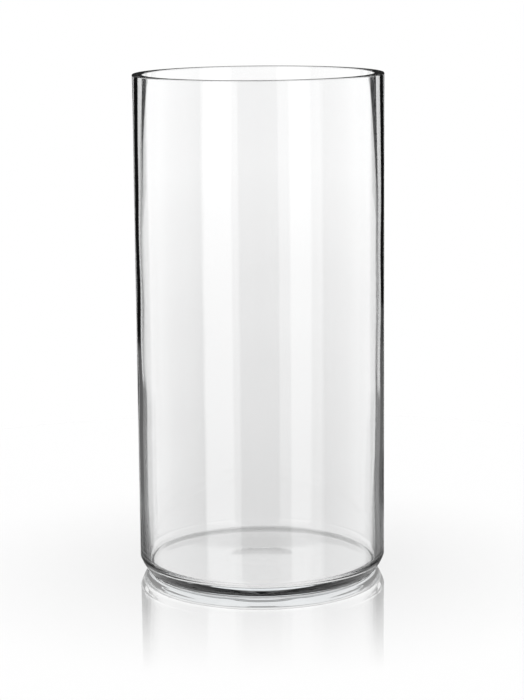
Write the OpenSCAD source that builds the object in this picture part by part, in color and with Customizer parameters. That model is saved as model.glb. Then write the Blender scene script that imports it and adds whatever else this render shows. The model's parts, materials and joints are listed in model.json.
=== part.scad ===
// Glass cylinder vase for cut flowers: a straight blown cylinder with a cut, polished rim and a heavy
// base that is pushed up in the middle, so that it stands on a narrow ring.
// The glass is one continuous piece with no joint or seam, so the model is one solid: a half section
// turned about +Z. Millimetres; the origin is on the table, at the centre of the base.

/* [Overall] */
// Outside diameter of the straight wall
vase_d = 150; // [100:1:200]
// Height from the table to the cut rim
vase_h = 302; // [200:1:420]

/* [Wall] */
// Glass thickness at the cut rim
rim_wall = 6.2; // [4:0.1:8]
// Glass thickness where the wall is thinnest
waist_wall = 3.4; // [2.5:0.1:6]
// Glass thickness just above the inside corner
foot_wall = 4.8; // [3:0.1:8]
// Depth of the thinnest glass below the rim
waist_drop = 117; // [60:1:150]
// Power of the thinning from the rim down to the thinnest glass
thin_below_rim = 2.3; // [1.5:0.1:4]
// Power of the thinning from the inside corner up to the thinnest glass
thin_above_foot = 1.7; // [1.5:0.1:4]

/* [Rim] */
// Straight, round length of the mouth, from the arris down
lip_land = 3; // [1:0.5:20]
// Radius of the polished arris on both edges of the rim
rim_arris = 0.7; // [0.3:0.1:1.5]

/* [Base] */
// Glass thickness over the standing ring
base_t = 8.6; // [5:0.1:12]
// Width of the inside corner's curve between the wall and the floor
corner_w = 3.5; // [2:0.5:12]
// Height of the inside corner's curve above the floor
corner_h = 5; // [2:0.5:15]
// Height that the floor is raised in the middle
floor_rise = 0.6; // [0:0.1:3]
// Distance from the wall's face in to the standing ring
heel_inset = 4.6; // [2:0.1:8]
// Height of the heel's taper above the table
heel_h = 10; // [5:0.5:25]
// Roundness of the heel: 1 is a straight taper, 2 a quarter of an ellipse
heel_power = 1.2; // [1.1:0.1:2]
// Width of the flat standing ring
ring_w = 3.2; // [1.5:0.1:8]
// Height that the underside is pushed up in the middle
punt_h = 0.8; // [0.4:0.1:4]
// Radius of the ground and polished pontil mark
pontil_r = 20; // [8:0.5:25]
// Depth of the pontil mark
pontil_depth = 0.2; // [0.1:0.1:1]

/* [Hidden] */
$fn = 96;

vase_r = vase_d / 2;
mouth_r = vase_r - rim_wall;
land_top = vase_h - rim_arris;
land_z = land_top - lip_land;
waist_z = vase_h - waist_drop;

// Where the standing ring begins and ends
ring_out = vase_r - heel_inset;
ring_in = ring_out - ring_w;

// Where the inside corner meets the wall and the floor
corner_z = base_t + corner_h;
floor_r = vase_r - foot_wall - corner_w;

// Steps along each curve of the section
wall_steps = 12;
corner_steps = 8;
heel_steps = 10;
arris_steps = 3;
base_steps = 8;

// A smooth crown: 1 on the axis, 0 with no slope at radius edge and beyond
function crown(r, edge) = r < edge ? pow(1 - pow(r / edge, 2), 2) : 0;

// A quarter of an ellipse about [cx, cz], from angle a0 to a1
function arc(cx, cz, rx, rz, a0, a1, steps) =
    [for (i = [0 : steps]) let (a = a0 + (a1 - a0) * i / steps) [cx + rx * cos(a), cz + rz * sin(a)]];

// Glass thickness of the wall at height z, between the inside corner and the land
function wall_at(z) =
    z > waist_z
        ? waist_wall + (rim_wall - waist_wall) * pow((z - waist_z) / (land_z - waist_z), thin_below_rim)
        : waist_wall + (foot_wall - waist_wall) * pow((waist_z - z) / (waist_z - corner_z), thin_above_foot);

// Height of the underside: the push-up, with the pontil mark ground into its middle
function underside_z(r) =
    punt_h * crown(r, ring_in) + pontil_depth * max(0, 1 - pow(r / pontil_r, 2));

// The underside from the axis out to the standing ring
function underside() = concat(
    [for (i = [0 : base_steps - 1]) let (r = pontil_r * i / base_steps) [r, underside_z(r)]],
    [for (i = [0 : base_steps])
        let (r = pontil_r + (ring_in - pontil_r) * i / base_steps) [r, underside_z(r)]]);

// The heel, from the standing ring up to the straight wall: a taper, rounded at both its ends
function heel() =
    [for (i = [0 : heel_steps])
        let (u = 1 - cos(90 * i / heel_steps), x = pow(1 - pow(1 - u, heel_power), 1 / heel_power))
            [ring_out + heel_inset * x, heel_h * u]];

// The cut rim: an arris outside, the flat, and an arris inside
function rim() = concat(
    arc(vase_r - rim_arris, land_top, rim_arris, rim_arris, 0, 90, arris_steps),
    arc(mouth_r + rim_arris, land_top, rim_arris, rim_arris, 90, 180, arris_steps));

// The inside of the wall from the land down to the corner
function inner_wall() = concat(
    [for (i = [0 : wall_steps - 1])
        let (z = land_z + (waist_z - land_z) * i / wall_steps) [vase_r - wall_at(z), z]],
    [for (i = [0 : wall_steps - 1])
        let (z = waist_z + (corner_z - waist_z) * i / wall_steps) [vase_r - wall_at(z), z]]);

// The inside corner, from the wall down to the floor
function corner() = arc(floor_r, corner_z, corner_w, corner_h, 0, -90, corner_steps);

// The floor from the corner in to the axis
function floor_line() =
    [for (i = [1 : base_steps])
        let (r = floor_r * (1 - i / base_steps)) [r, base_t + floor_rise * crown(r, floor_r)]];

// The glass: base, heel, wall and rim in one piece
module vase_body() {
    color([0.86, 0.92, 0.93, 0.35])
        rotate_extrude()
            polygon(concat(underside(), heel(), rim(), inner_wall(), corner(), floor_line()));
}

vase_body();
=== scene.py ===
"""The glass cylinder vase: a blown cylinder of clear glass on a white, glossy table.

Metres, in the frame's own axes: +Z is up, the origin is on the table at the centre of the base.
"""
import json
import math

import bpy
from mathutils import Matrix, Vector


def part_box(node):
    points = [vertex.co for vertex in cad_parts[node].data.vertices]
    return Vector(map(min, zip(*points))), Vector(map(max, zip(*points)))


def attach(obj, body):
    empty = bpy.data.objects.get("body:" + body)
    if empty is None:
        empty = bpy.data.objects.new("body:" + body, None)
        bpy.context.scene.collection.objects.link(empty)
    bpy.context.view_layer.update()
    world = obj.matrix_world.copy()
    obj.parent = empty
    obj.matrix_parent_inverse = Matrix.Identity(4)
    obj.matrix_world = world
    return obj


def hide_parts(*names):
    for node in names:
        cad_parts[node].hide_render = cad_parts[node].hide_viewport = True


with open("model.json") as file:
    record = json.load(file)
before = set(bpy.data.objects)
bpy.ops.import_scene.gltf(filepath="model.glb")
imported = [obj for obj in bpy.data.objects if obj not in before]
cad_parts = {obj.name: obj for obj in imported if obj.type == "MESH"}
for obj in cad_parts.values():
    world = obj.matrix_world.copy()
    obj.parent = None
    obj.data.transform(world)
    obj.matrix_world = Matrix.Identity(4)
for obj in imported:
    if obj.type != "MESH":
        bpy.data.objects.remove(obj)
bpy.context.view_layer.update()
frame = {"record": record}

MM = 0.001

# ---------------------------------------------------------------- sizes from the frame
low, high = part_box("vase_body")
VASE_R = (high[0] - low[0]) / 2
VASE_H = high[2]
MOUTH_R = next(m for m in frame["record"]["mounts"] if m["name"] == "mouth")["dims"]["r_mm"] * MM

# ---------------------------------------------------------------- the glass section
# As in the CAD, but for a heel that runs in 1.6 mm further and a base that is 1.6 mm thinner
RIM_ARRIS = 0.7 * MM
WAIST_WALL = 3.4 * MM
FOOT_WALL = 4.8 * MM
WAIST_DROP = 117 * MM
THIN_BELOW_RIM = 2.3        # powers of the wall's thinning, above the waist and below it
THIN_ABOVE_FOOT = 1.7
LIP_LAND = 3 * MM
BASE_T = 7 * MM
CORNER_W = 3.5 * MM
CORNER_H = 5 * MM
FLOOR_RISE = 0.6 * MM
HEEL_INSET = 6.2 * MM
HEEL_H = 10 * MM
HEEL_POWER = 1.3            # 1 is a straight taper, 2 a quarter of an ellipse
RING_W = 3.2 * MM
PUNT_H = 0.8 * MM
PONTIL_R = 20 * MM
PONTIL_DEPTH = 0.2 * MM

# What the blowing leaves, in the visual mesh alone
SKIN = 0.05 * MM            # the outside and the rim stay this far inside the CAD wall
RIPPLE = 0.10 * MM          # depth of the outside's slow waves, all of it inwards
LEAN = 0.05 * MM            # the wall is this much thicker on one side at mid height
BULGE = 0.25 * MM           # and this much on the other side near the foot
SWAY = 0.06 * MM            # depth of the inside's slow waves
FADE = 25 * MM              # the outside's waves fade out over this length at both ends

TURN_STEPS = 288


def ease(u):
    """0 to 1 with no slope at either end."""
    u = min(max(u, 0.0), 1.0)
    return u * u * (3 - 2 * u)


def crown(r, edge):
    """1 on the axis, 0 with no slope at radius edge and beyond."""
    return (1 - (r / edge) ** 2) ** 2 if r < edge else 0.0


def arc(cr, cz, rr, rz, a0, a1, steps):
    """A quarter of an ellipse, in degrees from a0 to a1."""
    turn = [math.radians(a0 + (a1 - a0) * i / steps) for i in range(steps + 1)]
    return [(cr + rr * math.cos(a), cz + rz * math.sin(a)) for a in turn]


def heel(ring_out, steps):
    """From the contact ring up to the outside: a taper, rounded at both its ends."""
    ups = [1 - math.cos(math.pi / 2 * i / steps) for i in range(steps + 1)]
    outs = [(1 - (1 - u) ** HEEL_POWER) ** (1 / HEEL_POWER) for u in ups]
    return [(ring_out + HEEL_INSET * x, HEEL_H * u) for x, u in zip(outs, ups)]


def run(a, b, steps):
    """Points along a straight line, closer together at its ends, without the end points."""
    spread = [0.5 - 0.5 * math.cos(math.pi * i / steps) for i in range(1, steps)]
    return [(a[0] + (b[0] - a[0]) * t, a[1] + (b[1] - a[1]) * t) for t in spread]


def bell(z, middle, spread):
    """1 at the middle height, falling smoothly to 0 at spread either side."""
    u = (z - middle) / spread
    return (1 - u * u) ** 2 if abs(u) < 1 else 0.0


def outside_ripple(a, z):
    """How far the outside lies inside the true cylinder: slow waves round and along the wall."""
    wave = 0.5 * math.sin(2 * a + 47 * z + 0.6)
    wave += 0.3 * math.sin(3 * a - 83 * z + 2.1) + 0.2 * math.sin(a + 140 * z)
    ends = ease(z / FADE) * ease((VASE_H - z) / FADE)
    return RIPPLE * ends * (0.5 + 0.5 * wave)


def inside_swell(a, z):
    """Extra thickness of the wall on the inside."""
    left = -math.cos(a)
    lean = LEAN * left * bell(z, 190 * MM, 110 * MM)
    bulge = -BULGE * left * bell(z, 42 * MM, 36 * MM)
    wave = SWAY * math.sin(3 * a + 95 * z + 1.0) * bell(z, 150 * MM, 140 * MM)
    return lean + bulge + wave


def section():
    """The half section from the axis under the base, round the rim, to the axis on the floor.

    Each point is (radius, height, side); side says which of the blown waves moves it."""
    outer = VASE_R - SKIN
    ring_out = outer - HEEL_INSET
    ring_in = ring_out - RING_W
    land_top = VASE_H - RIM_ARRIS
    land_z = land_top - LIP_LAND
    waist_z = VASE_H - WAIST_DROP
    corner_z = BASE_T + CORNER_H
    floor_r = VASE_R - FOOT_WALL - CORNER_W

    def underside_z(r):
        return PUNT_H * crown(r, ring_in) + PONTIL_DEPTH * max(0.0, 1 - (r / PONTIL_R) ** 2)

    def wall_at(z):
        if z > waist_z:
            top = VASE_R - MOUTH_R - WAIST_WALL
            return WAIST_WALL + top * ((z - waist_z) / (land_z - waist_z)) ** THIN_BELOW_RIM
        drop = (waist_z - z) / (waist_z - corner_z)
        return WAIST_WALL + (FOOT_WALL - WAIST_WALL) * drop ** THIN_ABOVE_FOOT

    under_radii = [PONTIL_R * i / 12 for i in range(13)]
    under_radii += [PONTIL_R + (ring_in - PONTIL_R) * i / 20 for i in range(1, 21)]
    under = [(r, underside_z(r)) for r in under_radii]
    under += run((ring_in, 0), (ring_out, 0), 6)
    under += heel(ring_out, 24)
    outside = run((outer, HEEL_H), (outer, land_top), 80)
    rim = arc(outer - RIM_ARRIS, land_top, RIM_ARRIS, RIM_ARRIS, 0, 90, 6)
    rim += run((outer - RIM_ARRIS, VASE_H), (MOUTH_R + RIM_ARRIS, VASE_H), 8)
    rim += arc(MOUTH_R + RIM_ARRIS, land_top, RIM_ARRIS, RIM_ARRIS, 90, 180, 6)
    rim += run((MOUTH_R, land_top), (MOUTH_R, land_z), 6)
    heights = [land_z + (corner_z - land_z) * i / 120 for i in range(120)]
    inside = [(VASE_R - wall_at(z), z) for z in heights]
    floor = arc(floor_r, corner_z, CORNER_W, CORNER_H, 0, -90, 20)
    floor_radii = [floor_r * (1 - i / 24) for i in range(1, 25)]
    floor += [(r, BASE_T + FLOOR_RISE * crown(r, floor_r)) for r in floor_radii]
    parts = ((under, None), (outside, "outside"), (rim, None), (inside, "inside"), (floor, None))
    return [(r, z, side) for points, side in parts for r, z in points]


def circle(radius, steps):
    turn = [2 * math.pi * k / steps for k in range(steps)]
    return [(radius * math.cos(a), radius * math.sin(a), 0) for a in turn]


def make_mesh(name, points, faces):
    mesh = bpy.data.meshes.new(name)
    mesh.from_pydata(points, [], faces)
    mesh.validate()
    obj = bpy.data.objects.new(name, mesh)
    bpy.context.scene.collection.objects.link(obj)
    mesh.polygons.foreach_set("use_smooth", [True] * len(mesh.polygons))
    return obj


def lathe(name):
    """Turns the section about Z; the two points on the axis are single vertices."""
    rings = section()
    points, faces = [(0, 0, rings[0][1])], []
    for r, z, side in rings[1:-1]:
        for k in range(TURN_STEPS):
            a = 2 * math.pi * k / TURN_STEPS
            at_r = r
            if side == "outside":
                at_r -= outside_ripple(a, z)
            if side == "inside":
                at_r -= inside_swell(a, z)
            points.append((at_r * math.cos(a), at_r * math.sin(a), z))
    points.append((0, 0, rings[-1][1]))
    last = len(points) - 1

    def at(ring, k):
        return 1 + ring * TURN_STEPS + k % TURN_STEPS

    for k in range(TURN_STEPS):
        faces.append((0, at(0, k + 1), at(0, k)))
        for ring in range(len(rings) - 3):
            faces.append((at(ring, k), at(ring, k + 1), at(ring + 1, k + 1), at(ring + 1, k)))
        faces.append((at(len(rings) - 3, k), at(len(rings) - 3, k + 1), last))
    return make_mesh(name, points, faces)


# ---------------------------------------------------------------- shader helpers
class Graph:
    """Adds nodes to a node tree with short calls."""

    def __init__(self, tree):
        self.tree = tree
        tree.nodes.clear()

    def node(self, kind, **values):
        made = self.tree.nodes.new(kind)
        for key, value in values.items():
            setattr(made, key, value)
        return made

    def link(self, source, target):
        if isinstance(source, (int, float)):
            target.default_value = source
        else:
            self.tree.links.new(source, target)

    def math(self, operation, *values):
        made = self.node("ShaderNodeMath", operation=operation)
        for value, socket in zip(values, made.inputs):
            self.link(value, socket)
        return made.outputs[0]

    def step(self, value, start, end, low=0.0, high=1.0, kind="SMOOTHSTEP"):
        """low before start, high after end."""
        made = self.node("ShaderNodeMapRange", interpolation_type=kind)
        names = ("Value", "From Min", "From Max", "To Min", "To Max")
        for source, name in zip((value, start, end, low, high), names):
            self.link(source, made.inputs[name])
        return made.outputs["Result"]

    def mix(self, factor, a, b):
        made = self.node("ShaderNodeMix", data_type="FLOAT")
        for source, socket in ((factor, 0), (a, 2), (b, 3)):
            self.link(source, made.inputs[socket])
        return made.outputs[0]

    def band(self, value, start, end, soft):
        """1 between start and end, 0 outside, with soft edges centred on both."""
        rise = self.step(value, start - soft, start + soft)
        fall = self.step(value, end - soft, end + soft, 1.0, 0.0)
        return self.math("MULTIPLY", rise, fall)


# ---------------------------------------------------------------- glass
GLASS_IOR = 1.52
TINT = (0.80, 0.92, 0.98, 1.0)
TINT_DENSITY = 2.0


def glass_material():
    material = bpy.data.materials.new("clear_glass")
    material.use_nodes = True
    g = Graph(material.node_tree)
    out = g.node("ShaderNodeOutputMaterial")
    glass = g.node("ShaderNodeBsdfPrincipled")
    glass.inputs["Base Color"].default_value = (1.0, 1.0, 1.0, 1.0)
    glass.inputs["Transmission Weight"].default_value = 1.0
    glass.inputs["Roughness"].default_value = 0.0
    glass.inputs["IOR"].default_value = GLASS_IOR
    g.link(glass.outputs["BSDF"], out.inputs["Surface"])
    tint = g.node("ShaderNodeVolumeAbsorption")
    tint.inputs["Color"].default_value = TINT
    tint.inputs["Density"].default_value = TINT_DENSITY
    g.link(tint.outputs["Volume"], out.inputs["Volume"])
    return material


# ---------------------------------------------------------------- table
TABLE_R = 0.45
TABLE_STEPS = 96
TABLE_DROP = 0.1 * MM       # the table lies this far under the glass, its clear coat half as far
SHINE = 0.75                # share of mirror beside the vase
SHINE_FADE_END = 212 * MM   # radius where the mirror ends
SHINE_POWER = 1.2
SHADOW = 0.1                # share of plain white, which holds the vase's shadow


def make_table():
    """A white glossy table: it shows the white behind it, and mirrors the vase near its foot."""
    table = make_mesh("table", circle(TABLE_R, TABLE_STEPS), [tuple(range(TABLE_STEPS))])
    table.location.z = -TABLE_DROP
    material = bpy.data.materials.new("white_table")
    material.use_nodes = True
    g = Graph(material.node_tree)
    out = g.node("ShaderNodeOutputMaterial")
    place = g.node("ShaderNodeTexCoord").outputs["Object"]
    apart = g.node("ShaderNodeVectorMath", operation="LENGTH")
    g.link(place, apart.inputs[0])
    fade = g.step(apart.outputs["Value"], VASE_R - HEEL_INSET, SHINE_FADE_END, 1.0, 0.0, "LINEAR")
    bare = g.math("GREATER_THAN", apart.outputs["Value"], VASE_R - HEEL_INSET)
    shine = g.math("MULTIPLY", g.math("POWER", fade, SHINE_POWER), g.math("MULTIPLY", bare, SHINE))
    camera_ray = g.node("ShaderNodeLightPath").outputs["Is Camera Ray"]
    clear = g.node("ShaderNodeBsdfTransparent")
    white = g.node("ShaderNodeBsdfDiffuse")
    white.inputs["Color"].default_value = (1, 1, 1, 1)
    top = g.node("ShaderNodeMixShader")
    g.link(g.math("MULTIPLY", camera_ray, SHADOW), top.inputs[0])
    g.link(clear.outputs[0], top.inputs[1])
    g.link(white.outputs[0], top.inputs[2])
    mirror = g.node("ShaderNodeBsdfAnisotropic")
    mirror.inputs["Roughness"].default_value = 0.0
    mirror.inputs["Color"].default_value = (1, 1, 1, 1)
    both = g.node("ShaderNodeMixShader")
    g.link(shine, both.inputs[0])
    g.link(top.outputs[0], both.inputs[1])
    g.link(mirror.outputs[0], both.inputs[2])
    g.link(both.outputs[0], out.inputs["Surface"])
    table.data.materials.append(material)


def make_coat():
    """A clear skin over the table round the vase: it marks the rays that the table sends back."""
    steps = TABLE_STEPS
    rings = circle(VASE_R - HEEL_INSET, steps) + circle(TABLE_R, steps)
    faces = [(k, (k + 1) % steps, steps + (k + 1) % steps, steps + k) for k in range(steps)]
    coat = make_mesh("table_coat", rings, faces)
    coat.location.z = -TABLE_DROP / 2
    material = bpy.data.materials.new("clear_coat")
    material.use_nodes = True
    g = Graph(material.node_tree)
    out = g.node("ShaderNodeOutputMaterial")
    clear = g.node("ShaderNodeBsdfTransparent")
    g.link(clear.outputs[0], out.inputs["Surface"])
    coat.data.materials.append(material)


# ---------------------------------------------------------------- light
# Angles are in degrees: azimuth from +Y towards +X, and level, minus the size of the elevation.
# Pairs are the start and end of a soft step, or of a band.
BLACK = 0.005
DEEP_GREY = 0.01            # where rays end that the glass turns over and over
LOW_SKY_GREY = 0.03
FIELD = (0.84, 1.05)        # strength of the bright field over FIELD_LEVELS
FIELD_LEVELS = (-15.1, -4.0)
LOBE = (3.0, 12.0)          # the field is a little brighter beyond its middle
LOBE_GAIN = 1.04
SHADE = (0.18, 0.12)        # the dark flags below the table's horizon, over SHADE_LEVELS
SHADE_LEVELS = (-15.1, -10.4)
HORIZON = (-10.5, -10.0)
SHADE_FOOT = (-30.0, -21.0)  # below this the flags end and the field shows
FLAG = (18.0, 31.5)         # dark flags seen through the glass, by the azimuth folded to 45 degrees
STRIP = 0.35                # strength of the bright strip below STRIP_LEVELS; it is 1 above them
STRIP_LEVELS = (-13.4, -12.1)
STRIP_BAND = (30.6, 41.5)
BOX_LEFT = (19.0, 53.0)     # the soft boxes, by the angle from the camera's side
BOX_RIGHT = (28.0, 60.0)
ROOM = (60.0, 125.0)        # the room darkens towards the camera
ROOM_RANGE = (0.95, 0.04)
RIGHT_TURN = 3.7            # the flags on the right stand this much nearer the middle
OUTER_FLAG = (13.0, 15.0)
OUTER_FLAG_END = (56.0, 60.0)
LOW_SKY = (1.0, 12.0)
INNER_FLAG = (15.0, 17.0)
WEDGE = (41.5, 50.5)        # azimuth where the dark wedge ends, over WEDGE_LEVELS
WEDGE_LEVELS = (-5.7, -4.0)
STEEP = (-13.4, -11.7)
FAR_FLAG = (10.0, 13.0)
MIRRORED_AGAIN = 0.75       # what the table shows of rays mirrored twice in the glass


def make_world():
    """A bright field behind the glass with dark flags beside it, and two soft boxes in front."""
    world = bpy.data.worlds.new("studio")
    bpy.context.scene.world = world
    world.use_nodes = True
    g = Graph(world.node_tree)
    out = g.node("ShaderNodeOutputWorld")
    axes = g.node("ShaderNodeSeparateXYZ")
    g.link(g.node("ShaderNodeTexCoord").outputs["Generated"], axes.inputs[0])
    x, y, z = axes.outputs
    azimuth = g.math("DEGREES", g.math("ARCTAN2", x, y))
    elevation = g.math("DEGREES", g.math("ARCSINE", z))
    ray = g.node("ShaderNodeLightPath").outputs

    # The coat on the table is crossed once on the way down and again on the way up, so the count of
    # crossings tells which rays the table has mirrored; the other bounces are the glass's own
    depth = ray["Transmission Depth"]
    upward = g.math("GREATER_THAN", elevation, 0.0)
    crossed = g.mix(upward, 2.5, 0.5)
    off_table = g.math("GREATER_THAN", ray["Transparent Depth"], crossed)
    bounces = g.math("SUBTRACT", ray["Glossy Depth"], off_table)
    level = g.math("MULTIPLY", g.math("ABSOLUTE", elevation), -1.0)

    # A bright lobe every 90 degrees and dark between; below the table's horizon the dark is grey
    fold = g.math("PINGPONG", azimuth, 45.0)
    glow = g.step(fold, *LOBE, 1.0, LOBE_GAIN, "LINEAR")
    field = g.math("MULTIPLY", g.step(level, *FIELD_LEVELS, *FIELD, "LINEAR"), glow)
    horizon = g.step(level, *HORIZON, 1.0, 0.0)
    shade = g.mix(horizon, BLACK, g.step(level, *SHADE_LEVELS, *SHADE, "LINEAR"))
    shade = g.mix(g.step(level, *SHADE_FOOT, 1.0, 0.0), shade, field)
    strip = g.mix(g.step(level, *STRIP_LEVELS), STRIP, 1.0)
    through = g.mix(g.band(fold, *FLAG, 1.0), field, shade)

    # Mirrored: two soft boxes on the camera's side, by the angle from it
    side = g.math("ABSOLUTE", azimuth)
    front = g.math("SUBTRACT", 180.0, side)
    right = g.math("GREATER_THAN", azimuth, 0.0)
    box = g.mix(right, g.band(front, *BOX_LEFT, 1.5), g.band(front, *BOX_RIGHT, 1.5))
    room = g.step(side, *ROOM, *ROOM_RANGE, "LINEAR")
    low_sky = g.band(elevation, *LOW_SKY, 0.5)

    # Mirrored by the outside: dark from the bright field's edge round to the side
    near = g.math("ADD", side, g.mix(right, 0.0, RIGHT_TURN))
    outer = g.mix(g.step(near, *OUTER_FLAG), field, shade)
    outer = g.mix(g.step(side, *OUTER_FLAG_END), outer, room)
    outer = g.mix(low_sky, outer, LOW_SKY_GREY)

    # Mirrored inside the wall: a bright strip beyond the flag, then a wedge that narrows downwards
    inner = g.mix(g.step(near, *INNER_FLAG), field, shade)
    inner = g.mix(g.band(near, *STRIP_BAND, 1.0), inner, strip)
    wedge = g.step(level, *WEDGE_LEVELS, *WEDGE, "LINEAR")
    inner = g.mix(g.math("GREATER_THAN", side, wedge), inner, room)

    # Echoes across the bore, and rays that the glass turns over and over, end in the dark
    steep = g.step(level, *STEEP, 1.0, 0.0)
    echo = g.math("MULTIPLY", g.math("GREATER_THAN", depth, 3.5), g.math("SUBTRACT", 1.0, steep))
    far_wall = g.mix(g.step(side, *FAR_FLAG), shade, room)
    inner = g.mix(echo, inner, far_wall)
    once = g.math("COMPARE", bounces, 1.0, 0.5)
    twice = g.math("COMPARE", bounces, 2.0, 0.5)
    in_base = g.math("MULTIPLY", g.mix(upward, twice, once), g.math("COMPARE", depth, 2.0, 0.5))
    whispering = g.math("GREATER_THAN", bounces, 2.5)
    lost = g.math("MAXIMUM", g.math("MULTIPLY", in_base, steep), whispering)
    inner = g.mix(lost, inner, DEEP_GREY)
    again = g.math("MULTIPLY", off_table, g.math("GREATER_THAN", bounces, 1.5))
    inner = g.mix(again, inner, MIRRORED_AGAIN)

    wall = g.math("GREATER_THAN", depth, 0.5)
    mirrored = g.math("MAXIMUM", g.mix(wall, outer, inner), box)
    lost_direct = g.math("MULTIPLY", lost, g.math("SUBTRACT", 1.0, off_table))
    mirrored = g.mix(lost_direct, mirrored, DEEP_GREY)
    seen = g.mix(g.math("GREATER_THAN", bounces, 0.5), through, mirrored)

    # Plain white for the camera, for what the table scatters, and for rays no glass has touched
    touched = g.math("GREATER_THAN", g.math("ADD", ray["Glossy Depth"], depth), 0.5)
    open_white = g.math("MAXIMUM", ray["Is Camera Ray"], g.math("SUBTRACT", 1.0, touched))
    open_white = g.math("MAXIMUM", open_white, g.math("GREATER_THAN", ray["Diffuse Depth"], 0.5))
    strength = g.mix(open_white, seen, 1.0)
    light = g.node("ShaderNodeBackground")
    light.inputs["Color"].default_value = (1, 1, 1, 1)
    g.link(strength, light.inputs["Strength"])
    g.link(light.outputs[0], out.inputs["Surface"])


# ---------------------------------------------------------------- camera
# Metres from the vase's axis and above the table, and degrees
CAMERA_BACK = 1.3397
CAMERA_UP = 0.3824
CAMERA_PITCH = 10.461
CAMERA_ROLL = -0.513
CAMERA_LENS = 115.67
CAMERA_SHIFT = (0.0022, 0.0)


def make_camera():
    data = bpy.data.cameras.new("camera")
    data.lens = CAMERA_LENS
    data.sensor_width = 36
    data.shift_x, data.shift_y = CAMERA_SHIFT
    camera = bpy.data.objects.new("camera", data)
    bpy.context.scene.collection.objects.link(camera)
    camera.matrix_world = (
        Matrix.Translation((0, -CAMERA_BACK, CAMERA_UP))
        @ Matrix.Rotation(math.radians(90 - CAMERA_PITCH), 4, "X")
        @ Matrix.Rotation(math.radians(CAMERA_ROLL), 4, "Z")
    )
    bpy.context.scene.camera = camera


scene = bpy.context.scene
scene.view_settings.view_transform = "Standard"
scene.cycles.max_bounces = 24
scene.cycles.glossy_bounces = 16
scene.cycles.transmission_bounces = 24
scene.cycles.transparent_max_bounces = 16

make_camera()
make_world()
make_table()
make_coat()

vase = lathe("vase_glass")
vase.data.materials.append(glass_material())
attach(vase, "root")
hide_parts("vase_body")
